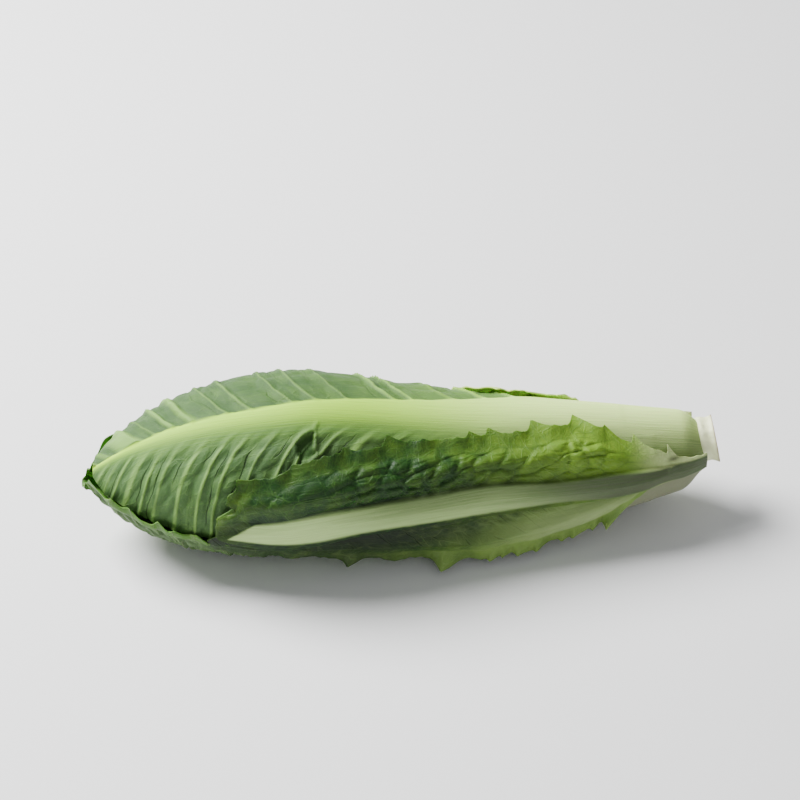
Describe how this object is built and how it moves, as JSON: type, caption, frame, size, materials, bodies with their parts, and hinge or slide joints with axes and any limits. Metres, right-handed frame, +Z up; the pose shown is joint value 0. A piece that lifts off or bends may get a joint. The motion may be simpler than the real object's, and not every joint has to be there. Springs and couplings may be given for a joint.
{
  "type": "romaine lettuce head",
  "caption": "Head of romaine lettuce lying on its side: long ribbed leaves wrapped round a yellow heart, joined at a short cut stem.",
  "frame": {"origin": "on the surface that the head rests on, under the middle of its bounding box", "axes": "+X along the head from the leaf tips to the cut stem, +Y away from the side where the loose front leaf lies, +Z up"},
  "size_m": [0.2997, 0.0942, 0.0758],
  "materials": {
    "outer_leaf_green": "satin dark green leaf with a waxy bloom",
    "light_leaf_green": "satin light green leaf",
    "inner_leaf_green": "satin pale green leaf",
    "heart_yellow": "satin yellow-green heart leaf",
    "stem_white": "matte creamy white stem with a cut end"
  },
  "bodies": {
    "root": {"stem": "stem_white", "heart_leaf_01": "heart_yellow", "heart_leaf_02": "heart_yellow", "heart_leaf_03": "heart_yellow", "heart_leaf_04": "heart_yellow", "heart_leaf_05": "heart_yellow", "heart_leaf_06": "heart_yellow", "heart_leaf_07": "heart_yellow", "heart_leaf_08": "heart_yellow", "heart_leaf_09": "heart_yellow", "heart_leaf_10": "heart_yellow", "heart_leaf_11": "heart_yellow", "heart_leaf_12": "heart_yellow", "inner_leaf_01": "inner_leaf_green", "inner_leaf_02": "inner_leaf_green", "inner_leaf_03": "inner_leaf_green", "inner_leaf_04": "inner_leaf_green", "inner_leaf_05": "inner_leaf_green", "inner_leaf_06": "inner_leaf_green", "inner_leaf_07": "inner_leaf_green", "bottom_leaf": "outer_leaf_green", "back_lower_leaf": "outer_leaf_green", "far_leaf": "light_leaf_green", "top_leaf": "outer_leaf_green", "lower_leaf": "light_leaf_green", "front_leaf": "outer_leaf_green"}
  },
  "joints": []
}
